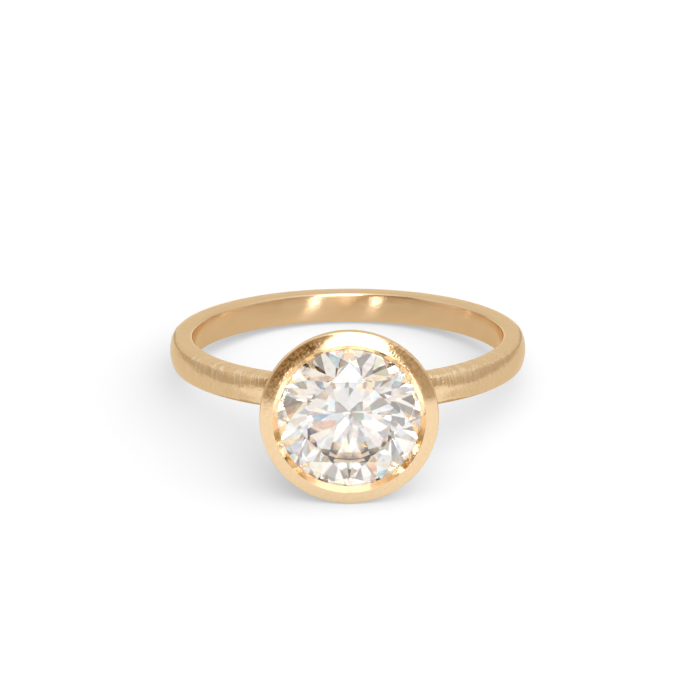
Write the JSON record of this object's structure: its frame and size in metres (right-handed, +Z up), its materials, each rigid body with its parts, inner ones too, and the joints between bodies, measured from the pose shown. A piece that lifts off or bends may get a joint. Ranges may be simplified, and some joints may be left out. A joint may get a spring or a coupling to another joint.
{
  "type": "solitaire diamond engagement ring with a bezel mount",
  "caption": "Gold finger ring: a plain domed band with a tapered bezel cup soldered on it, which holds a round brilliant diamond under its burnished rim.",
  "frame": {"origin": "on the surface that the ring lies on, under the middle of its bounding box", "axes": "+Z up from the surface, +X to the right across the finger hole, -Y the way the stone's table faces; the finger's axis leans 9.5 degrees from +Z towards +Y"},
  "size_m": [0.0194, 0.0242, 0.0093],
  "materials": {
    "yellow_gold": "pale 14 carat yellow gold: finely brushed outside the band, polished inside it and on the rim",
    "diamond": "colourless, polished facets"
  },
  "bodies": {
    "root": {"band_with_bezel": "yellow_gold", "diamond": "diamond"}
  },
  "joints": []
}
